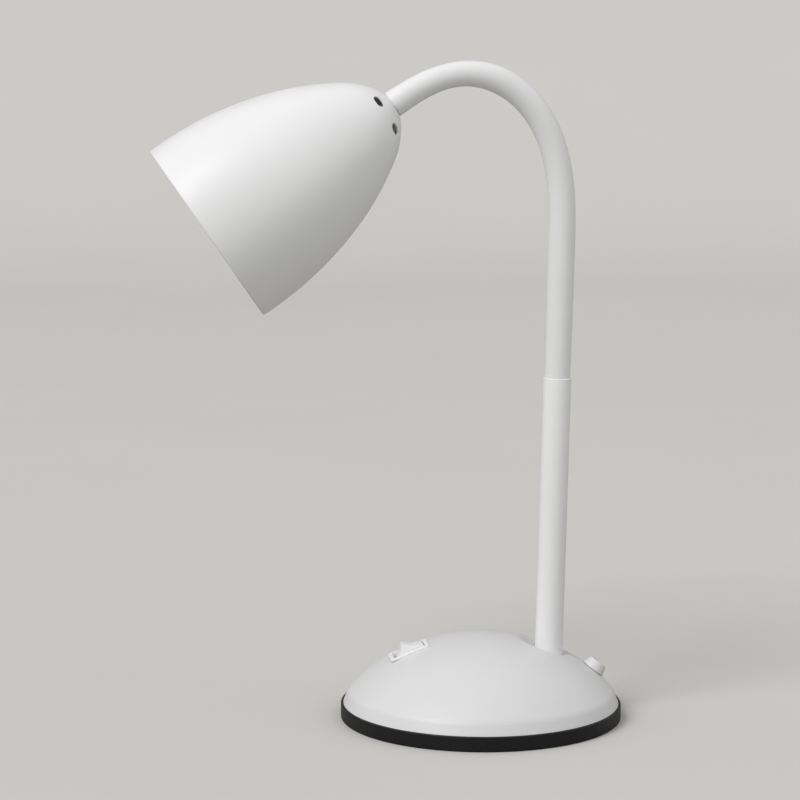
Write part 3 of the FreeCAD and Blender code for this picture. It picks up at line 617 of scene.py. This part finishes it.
def neckLengths(whole, name, material):
    middleJoint = neck["jointCount"] // 2
    pieces = []
    for joint in range(1, neck["jointCount"] + 1):
        piece = duplicateOf(whole)
        before = neckLine[2 * joint - 1]
        after = neckLine[2 * joint + 1]
        if joint > middleJoint:
            # The later planes would also run through the neck's upright half, so that goes first
            cutAcross(piece, neckLine[2 * middleJoint], True)
        if joint > 1:
            cutAcross(piece, before, True)
        if joint < neck["jointCount"]:
            cutAcross(piece, after, False)
        keepNormals(piece, whole)
        finishPiece(piece, "%s_%02d" % (name, joint), material)
        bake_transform(piece)
        pieces.append(piece)
    removePiece(whole)
    return pieces


sleeve = tubeAlongNeck("sleeve", neck["sleeveRadius"], widthAt, neck["endRound"], neck["endGap"])
sleeveLengths = neckLengths(sleeve, "sleeve", sleevePlastic)
for number, piece in enumerate(sleeveLengths[1:], start=1):
    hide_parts("neck_link_%02d" % number)
leadFoot = stemMatrix() @ Vector((0, 0, neck["leadStart"] * mm))
lead = tubeAlongNeck("lead", neck["leadRadius"], evenWidth, neck["leadEndRound"], firstPoint=leadFoot)
leadLengths = neckLengths(lead, "lead", finishes["lead_pvc"])
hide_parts("lead_sheath")
print("neck ready")


# Turned pieces: an outline spun about its own axis, then put in its place

def turnPiece(name, outline, steps, place, smoothDegrees, slotName, body, node):
    piece = latheOutline(name, outline, steps)
    moveBy(piece, place)
    smoothByAngle(piece, smoothDegrees)
    finishPiece(piece, name, finishes[slotName], body, [node])


# Ends of the gooseneck inside the sleeve: plug in the upright tube, pipe thread through the shade

ferrules = {
    "plug": 6.25,
    "plugDepth": 22.0,
    "collar": 6.4,
    "lowCollar": 9.0,
    "topCollar": 4.5,
    "shoulder": 0.1,
    "bore": 3.0,
    "thread": 4.95,
    "threadRoot": 4.6,
    "threadStart": 100.0,
    "pitch": 1.0,
    "steps": 64,
}


def threadOutline():
    # Saw teeth from inside the lampholder up to the nose, then the collar above it
    points = [(ferrules["bore"], ferrules["threadStart"])]
    height = ferrules["threadStart"]
    while height < layout["shadeDepth"] - ferrules["pitch"]:
        points.append((ferrules["threadRoot"], height))
        points.append((ferrules["thread"], height + ferrules["pitch"] / 2))
        height += ferrules["pitch"]
    shoulder = layout["shadeDepth"] + ferrules["shoulder"]
    collarTop = layout["shadeDepth"] + ferrules["topCollar"]
    points += [(ferrules["threadRoot"], shoulder), (ferrules["collar"], shoulder)]
    points += [(ferrules["collar"], collarTop), (ferrules["bore"], collarTop)]
    return points


plugOutline = roundedOutline([
    (ferrules["bore"], stemLength - ferrules["plugDepth"], 0),
    (ferrules["plug"], stemLength - ferrules["plugDepth"], 0.5),
    (ferrules["plug"], stemLength + 0.2, 0),
    (ferrules["collar"], stemLength + 0.4, 0),
    (ferrules["collar"], stemLength + ferrules["lowCollar"], 0.5),
    (ferrules["bore"], stemLength + ferrules["lowCollar"], 0.3)])
turnPiece("lower_ferrule", plugOutline, ferrules["steps"], stemMatrix(), 40, "white_steel", "base",
          "neck_lower_ferrule")
turnPiece("upper_ferrule", threadOutline(), ferrules["steps"], headMatrix(), 25, "white_steel", "head",
          "neck_upper_ferrule")
print("ferrules ready")


# Upright tube: drawn steel with a rounded mouth

stem = {"radius": 7.5, "wall": 1.2, "footRound": 0.2, "mouthRound": 0.6, "insideRound": 0.3, "steps": 96}
stemOutline = roundedOutline([
    (stem["radius"] - stem["wall"], 0, 0),
    (stem["radius"], 0, stem["footRound"]),
    (stem["radius"], stemLength, stem["mouthRound"]),
    (stem["radius"] - stem["wall"], stemLength, stem["insideRound"])])
turnPiece("stem", stemOutline, stem["steps"], stemMatrix(), 40, "white_steel", "base", "stem_tube")
print("upright tube ready")


# Shade: one outline from the hem over the nose and back down the inside, spun about its axis

shade = {
    "rimRadius": 51.6,
    "rimFlare": 1.9,
    "arcs": ((192.0, 18.0), (157.0, 17.5)),
    "noseArc": 42.6,
    "noseDrop": 0.12,
    "noseEdge": 0.6,
    "wall": 0.8,
    "noseWall": 1.9,
    "noseHole": 5.2,
    "holeEdge": 0.3,
    "hem": 0.8,
    "hemLean": 8,
    "hemTurn": 262,
    "outsideFrom": 1.5,
    "insideFrom": 2.2,
    "steps": 160,
    "ventLength": 6.9,
    "ventWidth": 5.0,
    "ventReach": 8.0,
    "ventPlaces": ((24.5, 111.8), (-35.2, 111.0)),
    "ventSteps": 32,
}


def shadeSide(inset, top):
    # Gives the outline up to that level and the middle of the nose's arc
    points = [(shade["rimRadius"] - inset, 0.0)]
    heading = 90 - shade["rimFlare"]
    for radius, turn in shade["arcs"]:
        more, heading = arcFrom(points[-1], heading, radius - inset, turn, 1.5)
        points += more
    radius = shade["noseArc"] - inset
    lean = math.radians(heading - 90)
    middle = (points[-1][0] - radius * math.cos(lean), points[-1][1] - radius * math.sin(lean))
    turn = math.degrees(math.asin((top - middle[1]) / radius) - lean)
    more, _ = arcFrom(points[-1], heading, radius, turn, 2.0)
    return points + more, middle


def hemArc():
    # The rolled rim, from the wall's inside round under the edge to its outside
    hem = shade["hem"]
    lean = math.radians(shade["hemLean"])
    start = (shade["rimRadius"] - hem - hem * math.sin(lean), hem + hem * math.cos(lean))
    points, _ = arcFrom(start, 180 + shade["hemLean"], hem, shade["hemTurn"], 15)
    return points


def shadeOutline(outside, inside):
    # Both sides stop so many hems above the rim, where the roll takes over
    nose = layout["shadeDepth"]
    hole = shade["noseHole"]
    points = [point for point in outside if point[1] > shade["outsideFrom"] * shade["hem"]]
    points += [(outside[-1][0] - shade["noseEdge"], nose), (hole + shade["holeEdge"], nose)]
    points += [(hole, nose - shade["holeEdge"]), (hole, nose - shade["noseWall"])]
    points += [point for point in reversed(inside) if point[1] > shade["insideFrom"] * shade["hem"]]
    return points + hemArc()


def ventCutter(angle, station, side, middle):
    # A round peg pulled apart into a slot, set square to the nose
    bpy.ops.mesh.primitive_cylinder_add(vertices=shade["ventSteps"], radius=shade["ventWidth"] / 2 * mm,
                                        depth=shade["ventReach"] * mm,
                                        rotation=(0, 0, math.pi / shade["ventSteps"]))
    cutter = bpy.context.active_object
    bpy.ops.object.transform_apply(location=True, rotation=True, scale=True)
    apart = (shade["ventLength"] - shade["ventWidth"]) / 2 * mm
    for sign in (-1, 1):
        editAll(cutter)
        bpy.ops.mesh.select_all(action="DESELECT")
        bpy.ops.object.mode_set(mode="OBJECT")
        for vertex in cutter.data.vertices:
            vertex.select = vertex.co.y * sign > 0
        bpy.ops.object.mode_set(mode="EDIT")
        bpy.ops.transform.translate(value=(0, apart * sign, 0))
        bpy.ops.object.mode_set(mode="OBJECT")
    slope = math.asin((station - middle[1]) / shade["noseArc"])
    radius = middle[0] + shade["noseArc"] * math.cos(slope)
    place = Matrix.Translation(Vector((radius, 0, station)) * mm)
    lean = Matrix.Rotation(math.pi / 2 - slope, 4, "Y")
    around = Matrix.Rotation(math.radians(side * (90 + angle)), 4, "Z")
    moveBy(cutter, around @ place @ lean)
    return cutter


outside, noseMiddle = shadeSide(0, layout["shadeDepth"] - shade["noseDrop"])
inside, _ = shadeSide(shade["wall"], layout["shadeDepth"] - shade["noseWall"])
shadePiece = latheOutline("shade_bell", shadeOutline(outside, inside), shade["steps"])
for side in (-1, 1):
    for angle, station in shade["ventPlaces"]:
        deselectAll()
        cutWith(shadePiece, ventCutter(angle, station, side, noseMiddle))
moveBy(shadePiece, headMatrix())
smoothByAngle(shadePiece, 35)
finishPiece(shadePiece, "shade_bell", finishes["white_steel"], "head", ["shade"])
print("shade ready")


# Lampholder: a cap screwed over a shell, both turned about the shade's axis

holder = {"radius": 13.5, "top": 106.0, "split": 90.0, "mouth": 69.0, "wall": 1.5, "bore": 5.0,
          "seam": 0.15, "overlap": 5.0, "play": 0.05, "steps": 72}
capInside = holder["radius"] - holder["wall"]
shellInside = holder["radius"] - 2 * holder["wall"]
capOutline = roundedOutline([
    (holder["bore"], holder["top"], 0.3),
    (holder["radius"] - 3, holder["top"], 1.2),
    (holder["radius"], holder["top"] - 3, 1.2),
    (holder["radius"], holder["split"] + holder["seam"], 0.3),
    (capInside, holder["split"] + holder["seam"], 0),
    (capInside, holder["top"] - 4, 0.5),
    (holder["bore"], holder["top"] - 4, 0)])
shellOutline = roundedOutline([
    (capInside - holder["play"], holder["split"] + holder["overlap"], 0.2),
    (capInside - holder["play"], holder["split"], 0),
    (holder["radius"], holder["split"], 0.3),
    (holder["radius"] - 0.8, holder["mouth"] + 1, 0.5),
    (holder["radius"] - 1.6, holder["mouth"], 0.4),
    (shellInside, holder["mouth"], 0.4),
    (shellInside, holder["split"] + holder["overlap"], 0.2)])
turnPiece("holder_cap", capOutline, holder["steps"], headMatrix(), 35, "white_plastic", "head",
          "lampholder_cap")
turnPiece("holder_shell", shellOutline, holder["steps"], headMatrix(), 35, "white_plastic", "head",
          "lampholder_shell")
print("lampholder ready")


# Lamp: a hollow opal ball on a flared collar

globe = {"radius": 22.5, "wall": 0.8, "centre": 28.5, "joint": 10.0, "collarTop": 64.5, "collarNeck": 8.3,
         "collarBend": (10.8, 53.5), "collarSteps": 12, "steps": 96}


def ballSide(radius):
    # From the lowest point up to the level where the collar takes over
    lowest = (0, globe["centre"] - radius)
    top = math.degrees(math.asin(globe["joint"] / radius))
    arc, _ = arcFrom(lowest, 0, radius, 90 + top)
    return [lowest] + arc


def collarOutline():
    # The flank is one curve from the narrow neck out to the ball
    bendRadius, bendHeight = globe["collarBend"]
    wide = math.sqrt(globe["radius"] ** 2 - globe["joint"] ** 2)
    joint = globe["centre"] + globe["joint"]
    points = [(0, globe["collarTop"])]
    for step in range(globe["collarSteps"] + 1):
        t = step / globe["collarSteps"]
        radius = (1 - t) ** 2 * globe["collarNeck"] + 2 * t * (1 - t) * bendRadius + t * t * wide
        height = (1 - t) ** 2 * globe["collarTop"] + 2 * t * (1 - t) * bendHeight + t * t * joint
        points.append((radius, height))
    return points + [(0, joint)]


globeOutline = ballSide(globe["radius"]) + ballSide(globe["radius"] - globe["wall"])[::-1]
turnPiece("globe", globeOutline, globe["steps"], headMatrix(), 35, "opal_glass", "head", "lamp_globe")
turnPiece("lamp_neck", collarOutline(), globe["steps"], headMatrix(), 35, "white_plastic", "head",
          "lamp_collar")
print("lamp ready")


# Cord inlet: a short cone with a rounded tip and its collar under the cover

inlet = {"centreX": 61.4, "root": 6.35, "tip": 4.85, "height": 5.0, "tipRound": 0.6, "bore": 2.6,
         "shank": 4.3, "collar": 6.0, "collarTop": -3.3, "collarLow": -5.3, "steps": 72}
inletOutline = roundedOutline([
    (inlet["bore"], inlet["collarLow"], 0.3),
    (inlet["collar"], inlet["collarLow"], 0.4),
    (inlet["collar"], inlet["collarTop"], 0.2),
    (inlet["shank"], inlet["collarTop"], 0),
    (inlet["shank"], 0.1, 0),
    (inlet["root"], 0.1, 0),
    (inlet["root"], 0.6, 0.25),
    (inlet["tip"], inlet["height"], inlet["tipRound"]),
    (inlet["bore"], inlet["height"], 0.4)])
turnPiece("inlet_bush", inletOutline, inlet["steps"], domeMatrix(inlet["centreX"]), 40, "white_plastic",
          "base", "cord_gland")
print("inlet ready")


# Rocker: its outline is filled and drawn out sideways, then the long edges are eased

switch = {
    "centreX": -39.15,
    "sink": 0.5,
    "slope": 21.2,
    "pivotDepth": 4.8,
    "tilt": 20.3,
    "corners": ((0, 8.35, 1.6), (5.76, 8.9, 0.45), (8.0, 0.6, 0.3), (3.5, -2.2, 0.3),
                (-3.5, -2.2, 0.3), (-8.0, 0.6, 0.3), (-5.76, 8.9, 0.45)),
    "width": 11.0,
    "edge": 0.35,
    "plungerHole": 1.5,
    "plungerTop": 2.7,
    "drillLength": 20.0,
    "pinRadius": 1.0,
    "pinLength": 12.7,
    "pinEdge": 0.15,
    "steps": 32,
}
rocker = drawOutline("rocker_key", roundedOutline(switch["corners"]))
bpy.ops.mesh.edge_face_add()
bpy.ops.mesh.select_all(action="SELECT")
bpy.ops.transform.translate(value=(0, -switch["width"] / 2 * mm, 0))
bpy.ops.mesh.extrude_region_move(TRANSFORM_OT_translate={"value": (0, switch["width"] * mm, 0)})
bpy.ops.mesh.select_all(action="SELECT")
bpy.ops.mesh.normals_make_consistent(inside=False)
bpy.ops.object.mode_set(mode="OBJECT")
softenEdges(rocker, switch["edge"], 70)
drillMiddle = switch["plungerTop"] - switch["drillLength"] / 2
bpy.ops.mesh.primitive_cylinder_add(vertices=switch["steps"], radius=switch["plungerHole"] * mm,
                                    depth=switch["drillLength"] * mm, location=(0, 0, drillMiddle * mm))
cutWith(rocker, bpy.context.active_object)
rockerMatrix = (domeMatrix(switch["centreX"], switch["sink"], switch["slope"])
                @ Matrix.Translation((0, 0, -switch["pivotDepth"] * mm))
                @ Matrix.Rotation(math.radians(switch["tilt"]), 4, "Y"))
moveBy(rocker, rockerMatrix)
smoothByAngle(rocker, 30)
finishPiece(rocker, "rocker_key", rockerPlastic, "rocker", ["rocker"])

bpy.ops.mesh.primitive_cylinder_add(vertices=switch["steps"], radius=switch["pinRadius"] * mm,
                                    depth=switch["pinLength"] * mm, rotation=(math.pi / 2, 0, 0))
pins = bpy.context.active_object
bpy.ops.object.transform_apply(location=True, rotation=True, scale=True)
softenEdges(pins, switch["pinEdge"], 60)
moveBy(pins, rockerMatrix)
smoothByAngle(pins, 40)
finishPiece(pins, "rocker_pins", rockerPlastic, "rocker")
print("rocker ready")


# Camera: level with the shade, turned slightly, with a long lens

view = {"place": (-0.20997, -1.35320, 0.3576), "tilt": 82.27, "turn": -7.0, "lens": 117.0}
deselectAll()
bpy.ops.object.camera_add(location=view["place"],
                          rotation=(math.radians(view["tilt"]), 0, math.radians(view["turn"])))
camera = bpy.context.active_object
camera.data.lens = view["lens"]
camera.data.sensor_width = 36
camera.data.clip_start = 0.05
bpy.context.scene.camera = camera


# Floor: a paper sheet that sweeps up into the wall behind

room = {
    "floorColour": "#CFCDCA",
    "floorShade": "#CBC9C6",
    "floorBounce": "#999896",
    "size": 8.0,
    "wallHeight": 5.0,
    "sweepWidth": 1.5,
    "sweepSteps": 24,
    "worldColour": "#FFFFFF",
    "worldLevel": 0.7,
    "sunLevel": 1.45,
    "sunAngle": 30.0,
    "sunPlace": (-1.35, -0.95, 1.75),
    "sunTarget": (-0.05, 0, 0.18),
}


def floorPaper():
    # Matt paper sweep: one pale colour, a trace of fibre
    material, tree, shader, place = startMaterial("floor paper", Roughness=0.85, IOR=1.4)
    variedColour(tree, shader, place, room["floorColour"], room["floorShade"], 300)
    fibre = addNoise(tree, place, 1.5, 3.0)
    addBump(tree, shader, fibre.outputs["Fac"], 0.1, 0.03)
    # What the lamp gets back from the floor is a mid tone, so its undersides stay shaded
    paper = shader.inputs["Base Color"].links[0].from_socket
    seen = addNode(tree, "ShaderNodeLightPath").outputs["Is Camera Ray"]
    bounced, direct, mixed = mixSockets(tree, seen)
    bounced.default_value = linear(room["floorBounce"])
    tree.links.new(paper, direct)
    tree.links.new(mixed, shader.inputs["Base Color"])
    return material


deselectAll()
bpy.ops.mesh.primitive_plane_add(size=room["size"], location=(0, 0, 0))
floor = bpy.context.active_object
floor.name = "floor"
editAll(floor)
bpy.ops.mesh.select_mode(type="EDGE")
bpy.ops.mesh.select_all(action="DESELECT")
bpy.ops.object.mode_set(mode="OBJECT")
for edge in floor.data.edges:
    edge.select = all(floor.data.vertices[v].co.y > 0 for v in edge.vertices)
bpy.ops.object.mode_set(mode="EDIT")
bpy.ops.mesh.extrude_region_move(TRANSFORM_OT_translate={"value": (0, 0, room["wallHeight"])})
bpy.ops.object.mode_set(mode="OBJECT")
bevel = floor.modifiers.new("sweep", "BEVEL")
bevel.width = room["sweepWidth"]
bevel.segments = room["sweepSteps"]
applyAll(floor)
smoothByAngle(floor, 60)
floor.data.materials.append(floorPaper())
print("floor ready")


# Light: one broad, soft key from the upper left; the even surroundings fill the shadows

deselectAll()
bpy.ops.object.light_add(type="SUN", location=room["sunPlace"])
key = bpy.context.active_object
key.name = "key"
key.data.energy = room["sunLevel"]
key.data.angle = math.radians(room["sunAngle"])
towards = Vector(room["sunTarget"]) - Vector(room["sunPlace"])
key.rotation_euler = towards.to_track_quat("-Z", "Y").to_euler()
world = bpy.data.worlds.new("studio")
bpy.context.scene.world = world
world.use_nodes = True
background = world.node_tree.nodes["Background"]
background.inputs["Color"].default_value = linear(room["worldColour"])
background.inputs["Strength"].default_value = room["worldLevel"]
bpy.context.scene.view_settings.view_transform = "Standard"
print("light ready")
